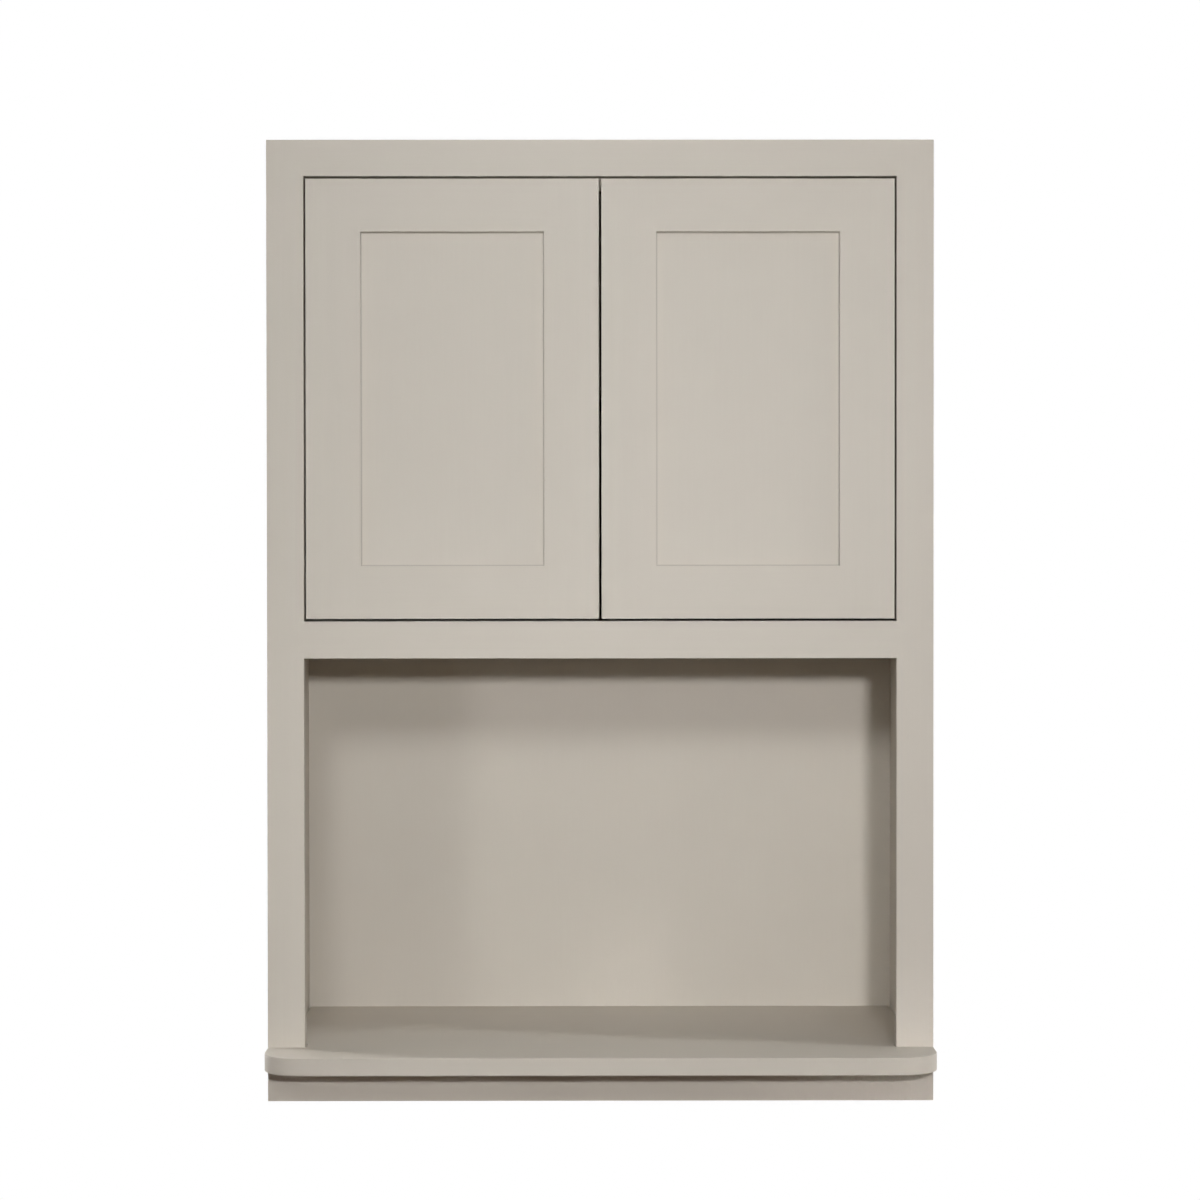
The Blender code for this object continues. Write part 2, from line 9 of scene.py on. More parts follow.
import bmesh
import bpy
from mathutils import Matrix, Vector

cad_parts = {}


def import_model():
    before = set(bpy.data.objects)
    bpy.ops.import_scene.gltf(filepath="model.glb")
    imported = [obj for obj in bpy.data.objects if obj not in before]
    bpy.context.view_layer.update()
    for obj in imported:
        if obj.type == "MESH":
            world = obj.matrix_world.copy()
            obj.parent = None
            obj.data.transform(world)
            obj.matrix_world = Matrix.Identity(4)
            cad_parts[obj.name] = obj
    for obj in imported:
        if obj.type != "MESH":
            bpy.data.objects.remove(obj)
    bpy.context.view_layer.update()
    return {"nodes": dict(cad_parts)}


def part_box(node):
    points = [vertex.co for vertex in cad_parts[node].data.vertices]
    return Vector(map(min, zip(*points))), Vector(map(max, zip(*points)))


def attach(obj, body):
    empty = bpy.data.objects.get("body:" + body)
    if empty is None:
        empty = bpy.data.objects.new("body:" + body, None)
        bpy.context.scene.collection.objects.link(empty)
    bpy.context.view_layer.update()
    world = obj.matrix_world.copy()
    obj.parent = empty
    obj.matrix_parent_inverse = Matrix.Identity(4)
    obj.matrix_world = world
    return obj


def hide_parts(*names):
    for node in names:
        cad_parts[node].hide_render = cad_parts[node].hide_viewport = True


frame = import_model()
nodes = frame["nodes"]

MM = 0.001
TINY = 0.01 * MM
FAR = 2.0
HANDS = ("left", "right")
LEVELS = ("upper", "lower")
ALONG_X, ALONG_Y, ALONG_Z = range(3)
TURN_TO_Y = Vector((0.0, 0.0, 1.0)).rotation_difference(Vector((0.0, 1.0, 0.0))).to_matrix()

# Camera fitted to the photograph, angles in radians
PHOTO_LENS = 87.60
PHOTO_SENSOR = 36.0
CAMERA_SIDE = -10.27 * MM
CAMERA_DISTANCE = 3003.81 * MM
CAMERA_HEIGHT = 550.62 * MM
CAMERA_PITCH = 0.01145
CAMERA_YAW = 0.00330
CAMERA_ROLL = 0.00084

# Arrises and joints
FRAME_EASE = 0.4 * MM
DOOR_EASE = 0.3 * MM
EASE_STEPS = 3
PRESSED_EDGE = 0.2 * MM
PRESSED_STEPS = 2
PANEL_FIT = 0.2 * MM
PANEL_FLOAT = 1.0 * MM
CUP_BORE_R = 17.5 * MM
CUP_BORE_DEPTH = 13.5 * MM
CUP_BORE_SIDES = 64

# Angles between faces, in degrees, and the part of a normal along an axis that counts as square to it
MERGED_UP_TO = 0.5
SMOOTH_UP_TO = 35.0
SHELF_SMOOTH_UP_TO = 20.0
EASED_FROM = 50.0
SQUARE = 0.9999

# Screws: places, head, and the steps of its dome as shares of the height with the width that is left
CUP_SCREW_PITCH = 48.0 * MM
PLATE_SCREW_PITCH = 32.0 * MM
ARM_SCREW_PLACE = 2 / 3
ARM_T = 2.5 * MM
SEAT_GAP = 0.1 * MM
SCREW_HEAD_R = 3.5 * MM
SCREW_HEAD_H = 1.5 * MM
SCREW_HEAD_SIDES = 28
SCREW_RIM_SHARE = 0.55
SCREW_DOME = ((0.30, 0.84), (0.15, 0.66))
RECESS_LENGTH = 3.6 * MM
RECESS_WIDTH = 0.8 * MM
RECESS_SHARES = (0.5, 0.45)
SCREW_SEED = 7

# Paint. Patterns are in mm, across and along the board where they are drawn out
PAINT_LIGHT = "#CDC6BB"
PAINT_DARK = "#C9C2B7"
PAINT_ROUGH = (0.46, 0.54)
PAINT_SHEEN = 0.2
PAINT_RELIEF = 0.02 * MM
GRAIN_MM = (1.6, 70.0)
PEEL_MM = 2.5
PASS_MM = 120.0
# Painted shade in the crease round a door panel: its colour, and how far it reaches from the frame
PAINTED_CREASE_SHADE = "#A9A298"
PAINTED_SHADE_WIDTH = 1.6 * MM

# Bare birch plywood
BIRCH_LIGHT = "#DCC49C"
BIRCH_DARK = "#CBAE84"
BIRCH_ROUGH = (0.55, 0.70)
BIRCH_RELIEF = 0.05 * MM
BARE_ROUGHER = 0.2
RING_MM = (10.0, 260.0)
PORE_MM = (0.5, 9.0)
END_GRAIN = "#9A7A50"
PLY_T = 1.45 * MM
SAWN_DEPTH = 0.3 * MM

# Nickel-plated steel
NICKEL_LIGHT = "#CFCDC8"
NICKEL_DARK = "#B4B0A9"
NICKEL_ROUGH = (0.22, 0.38)
NICKEL_RELIEF = 0.01 * MM
DRAWING_MM = (0.3, 6.0)
TARNISH_MM = 7.0

# Room and lamps, in metres and degrees. The floor fades between two shares of its reach
WHITE = "#FFFFFF"
FILL_COLOUR = "#F4EEE4"
FILL_STRENGTH = 0.02
MOUNTING_HEIGHT = 1372 * MM
FLOOR_PALE = "#E8E8E8"
FLOOR_BOUNCE = "#7A5A34"
FLOOR_REACH = 3.2
FLOOR_FADE = (0.45, 0.95)
FLOOR_GLOW = 0.75
LAMP_DISTANCE = 3.0
OPEN_BEAM = 180.0
SOFTBOX = (0.46, 0.42)
SMALL_SOFTBOX = (0.30, 0.30)
FILL_PANEL = (1.2, 1.2)

# Frame places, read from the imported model
stile_low, stile_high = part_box("left_frame_stile")
FRONT = stile_low.y
FRAME_BACK = stile_high.y
HALF = -stile_low.x
HALF_OPENING = -stile_high.x
BOTTOM = stile_low.z
TOP = stile_high.z
OPENING_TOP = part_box("top_frame_rail")[0].z
OPENING_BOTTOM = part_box("middle_frame_rail")[1].z
BAY_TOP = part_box("middle_frame_rail")[0].z
SHELF_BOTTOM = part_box("bottom_frame_rail")[1].z
BACK_MIDDLE = sum(corner.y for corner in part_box("back_panel")) / 2
TOP_PANEL_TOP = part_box("top_panel")[1].z


def linear(colour):
    """An sRGB hex colour as linear RGBA."""
    channels = [int(colour[index : index + 2], 16) / 255 for index in (1, 3, 5)]
    return (*[c / 12.92 if c <= 0.04045 else ((c + 0.055) / 1.055) ** 2.4 for c in channels], 1.0)


def add(tree, kind, inputs=None, **settings):
    """Add a node with its settings, and give or link its inputs. A node stands for its first output."""
    node = tree.nodes.new(kind)
    for key, value in settings.items():
        setattr(node, key, value)
    for key, value in (inputs or {}).items():
        if isinstance(value, bpy.types.Node):
            value = value.outputs[0]
        if isinstance(value, bpy.types.NodeSocket):
            tree.links.new(value, node.inputs[key])
        else:
            node.inputs[key].default_value = value
    return node


def new_material(name):
    """An empty material, its node tree and the place on the piece that its patterns read."""
    material = bpy.data.materials.new(name)
    material.use_nodes = True
    tree = material.node_tree
    tree.nodes.clear()
    return material, tree, add(tree, "ShaderNodeTexCoord").outputs["Object"]


def finished(material, tree, surface):
    """A material closed with its shader and output, from the shader's inputs."""
    shader = add(tree, "ShaderNodeBsdfPrincipled", surface)
    add(tree, "ShaderNodeOutputMaterial", {"Surface": shader})
    return material


def drawn_out(along, across_mm, length_mm):
    """Scale of a pattern that is stretched along one axis, as grain, fibres and drawing marks are."""
    scale = [1 / (across_mm * MM)] * 3
    scale[along] = 1 / (length_mm * MM)
    return scale


def paint_film(tree, place, along):
    """Shader inputs of the sprayed film on a board whose grain runs along one axis."""
    # Grain that telegraphs faintly through primer and paint
    boards = add(tree, "ShaderNodeMapping", {"Vector": place, "Scale": drawn_out(along, *GRAIN_MM)})
    grain = add(tree, "ShaderNodeTexNoise", {"Vector": boards, "Scale": 1.0, "Detail": 3.0})
    # Orange peel left by the spray gun, from crest to crest
    peel = add(tree, "ShaderNodeTexNoise", {"Vector": place, "Scale": 1 / (PEEL_MM * MM), "Detail": 1.0})
    # Overlapping passes of the gun
    passes = add(tree, "ShaderNodeTexNoise", {"Vector": place, "Scale": 1 / (PASS_MM * MM), "Detail": 2.0})
    tone = add(tree, "ShaderNodeMath", {0: grain, 1: 0.35, 2: passes}, operation="MULTIPLY_ADD")
    cover = add(tree, "ShaderNodeMapRange", {"Value": tone, "From Min": 0.4, "From Max": 0.95})
    tones = {"Factor": cover, 6: linear(PAINT_DARK), 7: linear(PAINT_LIGHT)}
    colour = add(tree, "ShaderNodeMix", tones, data_type="RGBA").outputs[2]
    low, high = PAINT_ROUGH
    satin = {"Value": passes, "From Min": 0.3, "From Max": 0.7, "To Min": low, "To Max": high}
    rough = add(tree, "ShaderNodeMapRange", satin)
    film = add(tree, "ShaderNodeBump", {"Height": peel, "Strength": 0.5, "Distance": PAINT_RELIEF})
    raised = {"Height": grain, "Strength": 0.5, "Distance": PAINT_RELIEF, "Normal": film}
    normal = add(tree, "ShaderNodeBump", raised)
    return {"Base Color": colour, "Roughness": rough, "Normal": normal, "Specular IOR Level": PAINT_SHEEN}


def with_painted_crease_shade(tree, place, colour, sight):
    """A door panel's colour with painted shade along the sight edges (x low, x high, z low, z high) of its
    frame.
    """
    parts = add(tree, "ShaderNodeSeparateXYZ", {0: place})
    rooms = []
    for axis, low, high in ((ALONG_X, *sight[:2]), (ALONG_Z, *sight[2:])):
        centred = {0: parts.outputs[axis], 1: (low + high) / 2}
        shifted = add(tree, "ShaderNodeMath", centred, operation="SUBTRACT")
        away = add(tree, "ShaderNodeMath", {0: shifted}, operation="ABSOLUTE")
        rooms.append(add(tree, "ShaderNodeMath", {0: (high - low) / 2, 1: away}, operation="SUBTRACT"))
    nearest = add(tree, "ShaderNodeMath", dict(enumerate(rooms)), operation="MINIMUM")
    clear = add(tree, "ShaderNodeMapRange", {"Value": nearest, "From Min": 0.0, "From Max": PAINTED_SHADE_WIDTH})
    tones = {"Factor": clear, 6: linear(PAINTED_CREASE_SHADE), 7: colour}
    return add(tree, "ShaderNodeMix", tones, data_type="RGBA").outputs[2]


def sprayed_paint(name, along, sight=None):
    """Satin lacquer over primed maple: one even colour, a soft sheen, and painted shade round a door
    panel's edges.
    """
    material, tree, place = new_material(name)
    film = paint_film(tree, place, along)
    if sight:
        film["Base Color"] = with_painted_crease_shade(tree, place, film["Base Color"], sight)
    return finished(material, tree, film)


def birch_veneer(tree, place, along):
    """Colour and pores of rotary-cut birch: pale, with drawn-out darker figure and short pores."""
    # Growth rings that the peeling knife spread out
    rings = add(tree, "ShaderNodeMapping", {"Vector": place, "Scale": drawn_out(along, *RING_MM)})
    figure = add(tree, "ShaderNodeTexNoise", {"Vector": rings, "Scale": 1.0, "Detail": 4.0})
    # Pores, coarser than real ones so that they show
    cells = add(tree, "ShaderNodeMapping", {"Vector": place, "Scale": drawn_out(along, *PORE_MM)})
    pores = add(tree, "ShaderNodeTexNoise", {"Vector": cells, "Scale": 1.0, "Detail": 2.0})
    tone = add(tree, "ShaderNodeMath", {0: pores, 1: 0.4, 2: figure}, operation="MULTIPLY_ADD")
    paleness = add(tree, "ShaderNodeMapRange", {"Value": tone, "From Min": 0.45, "From Max": 0.95})
    tones = {"Factor": paleness, 6: linear(BIRCH_DARK), 7: linear(BIRCH_LIGHT)}
    return add(tree, "ShaderNodeMix", tones, data_type="RGBA").outputs[2], pores


def bare_plywood(name, along):
    """Unfinished birch plywood, sanded at the mill: matt, with its veneer's figure and pores."""
    material, tree, place = new_material(name)
    colour, pores = birch_veneer(tree, place, along)
    low, high = BIRCH_ROUGH
    matt = {"Value": pores, "From Min": 0.3, "From Max": 0.7, "To Min": low, "To Max": high}
    rough = add(tree, "ShaderNodeMapRange", matt)
    sanded = add(tree, "ShaderNodeBump", {"Height": pores, "Strength": 0.4, "Distance": BIRCH_RELIEF})
    return finished(material, tree, {"Base Color": colour, "Roughness": rough, "Normal": sanded})


def ply_edge(tree, parts, bare):
    """Sawn edge of plywood: every other veneer is darker because it shows end grain."""
    layers = {0: parts.outputs[ALONG_X], 1: 1 / (2 * PLY_T)}
    count = add(tree, "ShaderNodeMath", layers, operation="MULTIPLY")
    turn = add(tree, "ShaderNodeMath", {0: count}, operation="FRACT")
    ends = add(tree, "ShaderNodeMath", {0: turn, 1: 0.5}, operation="GREATER_THAN")
    tones = {"Factor": ends, 6: bare, 7: linear(END_GRAIN)}
    return add(tree, "ShaderNodeMix", tones, data_type="RGBA").outputs[2]


def half_painted_panel(name, axis, bare_from, along, sawn=False):
    """Plywood sprayed on the faces that show, bare and rougher beyond a level on one axis."""
    material, tree, place = new_material(name)
    film = paint_film(tree, place, along)
    parts = add(tree, "ShaderNodeSeparateXYZ", {0: place})
    bare = birch_veneer(tree, place, along)[0]
    if sawn:
        bare = ply_edge(tree, parts, bare)
    beyond = {0: parts.outputs[axis], 1: bare_from}
    masked = add(tree, "ShaderNodeMath", beyond, operation="GREATER_THAN")
    halves = {"Factor": masked, 6: film["Base Color"], 7: bare}
    film["Base Color"] = add(tree, "ShaderNodeMix", halves, data_type="RGBA").outputs[2]
    rougher = {0: masked, 1: BARE_ROUGHER, 2: film["Roughness"]}
    film["Roughness"] = add(tree, "ShaderNodeMath", rougher, operation="MULTIPLY_ADD")
    return finished(material, tree, film)


def plated_steel(name):
    """Pressed steel with nickel plating: soft reflections, faint drawing marks and patches of tarnish."""
    material, tree, place = new_material(name)
    # Drawing marks of the strip, coarser than real ones so that they show
    strip = add(tree, "ShaderNodeMapping", {"Vector": place, "Scale": drawn_out(ALONG_Y, *DRAWING_MM)})
    marks = add(tree, "ShaderNodeTexNoise", {"Vector": strip, "Scale": 1.0, "Detail": 2.0})
    patches = {"Vector": place, "Scale": 1 / (TARNISH_MM * MM), "Detail": 3.0}
    tarnish = add(tree, "ShaderNodeTexNoise", patches)
    tones = {"Factor": tarnish, 6: linear(NICKEL_DARK), 7: linear(NICKEL_LIGHT)}
    colour = add(tree, "ShaderNodeMix", tones, data_type="RGBA").outputs[2]
    low, high = NICKEL_ROUGH
    shine = {"Value": marks, "From Min": 0.2, "From Max": 0.8, "To Min": low, "To Max": high}
    rough = add(tree, "ShaderNodeMapRange", shine)
    drawn = add(tree, "ShaderNodeBump", {"Height": marks, "Strength": 0.3, "Distance": NICKEL_RELIEF})
    plating = {"Base Color": colour, "Roughness": rough, "Normal": drawn, "Metallic": 1.0}
    return finished(material, tree, plating)


def inside(x, z, rect):
    return rect[0] < x < rect[1] and rect[2] < z < rect[3]


def every(bm):
    return bm.verts[:] + bm.edges[:] + bm.faces[:]


def board_frame(outer, openings, front, back):
    """Flat frame with openings (x low, x high, z low, z high), in quads between the joint lines."""
    xs = sorted({*outer[:2], *(x for rect in openings for x in rect[:2])})
    zs = sorted({*outer[2:], *(z for rect in openings for z in rect[2:])})
    bm = bmesh.new()
    corner = {(x, z): bm.verts.new((x, front, z)) for x in xs for z in zs}
    for x_low, x_high in zip(xs, xs[1:]):
        for z_low, z_high in zip(zs, zs[1:]):
            middle = ((x_low + x_high) / 2, (z_low + z_high) / 2)
            if not any(inside(*middle, rect) for rect in openings):
                ring = ((x_low, z_low), (x_high, z_low), (x_high, z_high), (x_low, z_high))
                bm.faces.new([corner[point] for point in ring])
    grown = bmesh.ops.extrude_face_region(bm, geom=bm.faces[:])
    moved = [item for item in grown["geom"] if isinstance(item, bmesh.types.BMVert)]
    bmesh.ops.translate(bm, verts=moved, vec=(0.0, back - front, 0.0))
    bmesh.ops.recalc_face_normals(bm, faces=bm.faces)
    return bm


def ease_arrises(bm, level, radius):
    """Round the edges round the face at the depth y = level."""
    sharp = math.radians(EASED_FROM)
    edges = [
        edge
        for edge in bm.edges
        if all(abs(vert.co.y - level) < TINY for vert in edge.verts) and edge.calc_face_angle(0.0) > sharp
    ]
    bmesh.ops.bevel(bm, geom=edges, offset=radius, segments=EASE_STEPS, profile=0.5, affect="EDGES")


def panel_groove(bm, opening, near, far, depth):
    """Sink a groove between two depths into the walls of an opening, for the panel's edges."""
    for level in (near, far):
        place = (0.0, level, 0.0)
        bmesh.ops.bisect_plane(bm, geom=every(bm), dist=TINY, plane_co=place, plane_no=(0.0, 1.0, 0.0))
    grown_opening = (opening[0] - TINY, opening[1] + TINY, opening[2] - TINY, opening[3] + TINY)
    walls = []
    for face in bm.faces:
        centre = face.calc_center_median()
        if near < centre.y < far and inside(centre.x, centre.z, grown_opening):
            walls.append(face)
    sunk = bmesh.ops.extrude_face_region(bm, geom=walls)["geom"]
    bmesh.ops.delete(bm, geom=walls, context="FACES_ONLY")
    middle_x = (opening[0] + opening[1]) / 2
    middle_z = (opening[2] + opening[3]) / 2
    for vert in sunk:
        if isinstance(vert, bmesh.types.BMVert):
            vert.co.x += math.copysign(depth, vert.co.x - middle_x)
            vert.co.z += math.copysign(depth, vert.co.z - middle_z)


def member(source, rect):
    """The part of a frame inside a rectangle, closed where it was cut from its neighbours."""
    bm = source.copy()
    planes = (
        ((rect[0], 0.0, 0.0), (-1.0, 0.0, 0.0)),
        ((rect[1], 0.0, 0.0), (1.0, 0.0, 0.0)),
        ((0.0, 0.0, rect[2]), (0.0, 0.0, -1.0)),
        ((0.0, 0.0, rect[3]), (0.0, 0.0, 1.0)),
    )
    for place, way in planes:
        bmesh.ops.bisect_plane(
            bm, geom=every(bm), dist=TINY, plane_co=place, plane_no=way, clear_outer=True
        )
        rims = [edge for edge in bm.edges if edge.is_boundary]
        bmesh.ops.holes_fill(bm, edges=rims, sides=0)
    loose = [edge for edge in bm.edges if not edge.link_faces]
    bmesh.ops.delete(bm, geom=loose, context="EDGES")
    return bm


def shade(bm):
    """Faces square to an axis stay flat and the rounded ones between them are smooth."""
    bmesh.ops.recalc_face_normals(bm, faces=bm.faces)
    for face in bm.faces:
        face.smooth = max(abs(part) for part in face.normal) < SQUARE


def piece_from(name, bm, material):
    mesh = bpy.data.meshes.new(name)
    bm.to_mesh(mesh)
    bm.free()
    mesh.materials.append(material)
    obj = bpy.data.objects.new(name, mesh)
    bpy.context.scene.collection.objects.link(obj)
    return obj


def stands_for(piece, body, slot, *cad_nodes):
    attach(piece, body)
    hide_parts(*cad_nodes)


def baked(obj):
    """Apply an object's modifiers to its mesh."""
    bpy.context.view_layer.update()
    evaluated = obj.evaluated_get(bpy.context.evaluated_depsgraph_get())
    mesh = bpy.data.meshes.new_from_object(evaluated)
    obj.modifiers.clear()
    old = obj.data
    obj.data = mesh
    bpy.data.meshes.remove(old)
    mesh.name = obj.name


def bored(obj, centres, radius, floor, top):
    """Drill round bores along Y into a piece."""
    drill = {"cap_ends": True, "segments": CUP_BORE_SIDES, "radius1": radius, "radius2": radius}
    cutters = []
    for centre in centres:
        bm = bmesh.new()
        bmesh.ops.create_cone(bm, depth=top - floor, **drill)
        bmesh.ops.rotate(bm, verts=bm.verts, matrix=TURN_TO_Y)
        bmesh.ops.translate(bm, verts=bm.verts, vec=(centre.x, (floor + top) / 2, centre.z))
        cutter = piece_from(obj.name + "_bore", bm, obj.data.materials[0])
        modifier = obj.modifiers.new("bore", "BOOLEAN")
        modifier.object = cutter
        modifier.operation = "DIFFERENCE"
        modifier.solver = "EXACT"
        cutters.append(cutter)
    baked(obj)
    for cutter in cutters:
        bpy.data.objects.remove(cutter, do_unlink=True)


def middle_of(node):
    low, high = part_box(node)
    return (low + high) / 2


def painted_member(frame_mesh, node, rect, body, material):
    """One stile or rail of a frame as a piece of its own."""
    bm = member(frame_mesh, rect)
    shade(bm)
    piece = piece_from("painted_" + node, bm, material)
    stands_for(piece, body, "painted_wood", node)
    return piece


def face_frame(upright_paint, level_paint):
    """Stiles and rails under one unbroken film of paint, so no joint line shows."""
    outer = (-HALF, HALF, BOTTOM, TOP)
    doorway = (-HALF_OPENING, HALF_OPENING, OPENING_BOTTOM, OPENING_TOP)
    bay = (-HALF_OPENING, HALF_OPENING, SHELF_BOTTOM, BAY_TOP)
    whole = board_frame(outer, (doorway, bay), FRONT, FRAME_BACK)
    ease_arrises(whole, FRONT, FRAME_EASE)
    painted_member(whole, "left_frame_stile", (-FAR, -HALF_OPENING, -FAR, FAR), "cabinet", upright_paint)
    painted_member(whole, "right_frame_stile", (HALF_OPENING, FAR, -FAR, FAR), "cabinet", upright_paint)
    rails = (
        ("top_frame_rail", OPENING_TOP, FAR),
        ("middle_frame_rail", BAY_TOP, OPENING_BOTTOM),
        ("bottom_frame_rail", -FAR, SHELF_BOTTOM),
    )
    for node, low, high in rails:
        painted_member(whole, node, (-HALF_OPENING, HALF_OPENING, low, high), "cabinet", level_paint)
    whole.free()


def door(hand, upright_paint, level_paint):
    """Shaker door frame round its flat panel, under one film of paint, bored for the hinge cups."""
    body = hand + "_door"
    stem = body + "_"
    hinge_low, hinge_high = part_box(stem + "hinge_stile")
    meeting_low, meeting_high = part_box(stem + "meeting_stile")
    panel_low, panel_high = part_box(stem + "panel")
    low_x, high_x = min(hinge_low.x, meeting_low.x), max(hinge_high.x, meeting_high.x)
    inner = sorted((hinge_low.x, hinge_high.x, meeting_low.x, meeting_high.x))[1:3]
    sight = (*inner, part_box(stem + "bottom_rail")[1].z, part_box(stem + "top_rail")[0].z)
    # The panel's paint has painted shade along the sight edges of its frame
    panel_paint = sprayed_paint("sprayed_paint_" + stem + "panel", ALONG_Z, sight)
    nodes[stem + "panel"].material_slots[0].material = panel_paint
    whole = board_frame((low_x, high_x, hinge_low.z, hinge_high.z), (sight,), hinge_low.y, hinge_high.y)
    lap = inner[0] - panel_low.x
    panel_groove(whole, sight, panel_low.y - PANEL_FIT, panel_high.y + PANEL_FIT, lap + PANEL_FLOAT)
    ease_arrises(whole, hinge_low.y, DOOR_EASE)
    ease_arrises(whole, hinge_high.y, DOOR_EASE / 2)
    stiles = {"left": (-FAR, inner[0], -FAR, FAR), "right": (inner[1], FAR, -FAR, FAR)}
    other = {"left": "right", "right": "left"}
    hinge_stile = painted_member(whole, stem + "hinge_stile", stiles[hand], body, upright_paint)
    painted_member(whole, stem + "meeting_stile", stiles[other[hand]], body, upright_paint)
    painted_member(whole, stem + "top_rail", (*inner, sight[3], FAR), body, level_paint)
    painted_member(whole, stem + "bottom_rail", (*inner, -FAR, sight[2]), body, level_paint)
    whole.free()
    cups = [middle_of(f"{hand}_{level}_hinge_cup") for level in LEVELS]
    bored(hinge_stile, cups, CUP_BORE_R, hinge_high.y - CUP_BORE_DEPTH, hinge_high.y + CUP_BORE_DEPTH)


def dressed_copy(coat, node, body, slot, material, edge=0.0, smooth=SMOOTH_UP_TO):
    """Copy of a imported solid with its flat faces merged, its rounds smooth and its edges eased."""
    bm = bmesh.new()
    bm.from_mesh(nodes[node].data)
    bmesh.ops.remove_doubles(bm, verts=bm.verts, dist=TINY / 10)
    bmesh.ops.dissolve_limit(bm, angle_limit=math.radians(MERGED_UP_TO), verts=bm.verts, edges=bm.edges)
    for face in bm.faces:
        face.smooth = True
    piece = piece_from(coat + "_" + node, bm, material)
    piece.data.set_sharp_from_angle(angle=math.radians(smooth))
    if edge:
        modifier = piece.modifiers.new("eased", "BEVEL")
        modifier.width = edge
        modifier.segments = PRESSED_STEPS
        modifier.limit_method = "ANGLE"
        modifier.angle_limit = math.radians(EASED_FROM)
        modifier.harden_normals = True
        baked(piece)
    stands_for(piece, body, slot, node)


def domed_head(tree, radius, height):
    """Pan head of a screw that stands on its seat: a disc and the steps of its dome."""
    rim = add(tree, "ShaderNodeMath", {0: height, 1: SCREW_RIM_SHARE}, operation="MULTIPLY")
    disc = {"Vertices": SCREW_HEAD_SIDES, "Radius": radius, "Depth": rim}
    rising = add(tree, "GeometryNodeMeshCylinder", disc).outputs
    mesh = rising["Mesh"]
    for share, width in SCREW_DOME:
        step = add(tree, "ShaderNodeMath", {0: height, 1: share}, operation="MULTIPLY")
        lifted = {"Mesh": mesh, "Selection": rising["Top"], "Offset Scale": step}
        rising = add(tree, "GeometryNodeExtrudeMesh", lifted).outputs
        drawn_in = {"Geometry": rising["Mesh"], "Selection": rising["Top"], "Scale": width}
        mesh = add(tree, "GeometryNodeScaleElements", drawn_in).outputs[0]
    half_rim = add(tree, "ShaderNodeMath", {0: rim, 1: 0.5}, operation="MULTIPLY")
    lift = add(tree, "ShaderNodeCombineXYZ", {"Z": half_rim})
    return add(tree, "GeometryNodeTransform", {"Geometry": mesh, "Translation": lift})


def screw_tree():
    """A pan head with a cross recess on each point of a mesh, facing the way the point's attribute says."""
    tree = bpy.data.node_groups.new("pan_head_screws", "GeometryNodeTree")
    sizes = {
        "Head Radius": SCREW_HEAD_R,
        "Head Height": SCREW_HEAD_H,
        "Recess Length": RECESS_LENGTH,
        "Recess Width": RECESS_WIDTH,
    }
    tree.interface.new_socket("Places", in_out="INPUT", socket_type="NodeSocketGeometry")
    for label, value in sizes.items():
        socket = tree.interface.new_socket(label, in_out="INPUT", socket_type="NodeSocketFloat")
        socket.default_value = value
    tree.interface.new_socket("Finish", in_out="INPUT", socket_type="NodeSocketMaterial")
    tree.interface.new_socket("Screws", in_out="OUTPUT", socket_type="NodeSocketGeometry")
    given = add(tree, "NodeGroupInput").outputs
    height = given["Head Height"]
    head = {"Mesh 1": domed_head(tree, given["Head Radius"], height)}
    recess = add(tree, "GeometryNodeMeshBoolean", head, operation="DIFFERENCE", solver="EXACT")
    # The second wing of the cross is a little shallower, as the punch leaves it
    wings = (("Recess Length", "Recess Width"), ("Recess Width", "Recess Length"))
    for (x_size, y_size), share in zip(wings, RECESS_SHARES):
        deep = add(tree, "ShaderNodeMath", {0: height, 1: 2 * share}, operation="MULTIPLY")
        size = add(tree, "ShaderNodeCombineXYZ", {"X": given[x_size], "Y": given[y_size], "Z": deep})
        bar = add(tree, "GeometryNodeMeshCube", {"Size": size})
        at_top = add(tree, "ShaderNodeCombineXYZ", {"Z": height})
        moved = add(tree, "GeometryNodeTransform", {"Geometry": bar, "Translation": at_top})
        tree.links.new(moved.outputs[0], recess.inputs["Mesh 2"])
    facing = add(tree, "GeometryNodeInputNamedAttribute", {"Name": "facing"}, data_type="FLOAT_VECTOR")
    aimed = add(tree, "FunctionNodeAlignRotationToVector", {"Vector": facing}, axis="Z")
    turn = add(tree, "FunctionNodeRandomValue", {"Max": math.pi, "Seed": SCREW_SEED}, data_type="FLOAT")
    spin = {"Axis": (0.0, 0.0, 1.0), "Angle": turn.outputs["Value"]}
    twist = add(tree, "FunctionNodeAxisAngleToRotation", spin)
    settled = add(tree, "FunctionNodeRotateRotation", {0: aimed, 1: twist}, rotation_space="LOCAL")
    spots = add(tree, "GeometryNodeMeshToPoints", {"Mesh": given["Places"]})
    laid_out = {"Points": spots, "Instance": recess, "Rotation": settled}
    placed = add(tree, "GeometryNodeInstanceOnPoints", laid_out)
    real = add(tree, "GeometryNodeRealizeInstances", {0: placed})
    coated = add(tree, "GeometryNodeSetMaterial", {"Geometry": real, "Material": given["Finish"]})
    add(tree, "NodeGroupOutput", {0: coated})
    return tree


def screws(name, body, places, tree, material):
    """Screw heads of one body, from points and the ways they face."""
    mesh = bpy.data.meshes.new(name)
    mesh.from_pydata([point for point, _ in places], [], [])
    facing = mesh.attributes.new("facing", "FLOAT_VECTOR", "POINT")
    for item, (_, way) in zip(facing.data, places):
        item.vector = way
    obj = bpy.data.objects.new(name, mesh)
    modifier = obj.modifiers.new("screws", "NODES")
    modifier.node_group = tree
    for socket in tree.interface.items_tree:
        if socket.name == "Finish":
            modifier[socket.identifier] = material
    bpy.context.scene.collection.objects.link(obj)
    baked(obj)
    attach(obj, body)


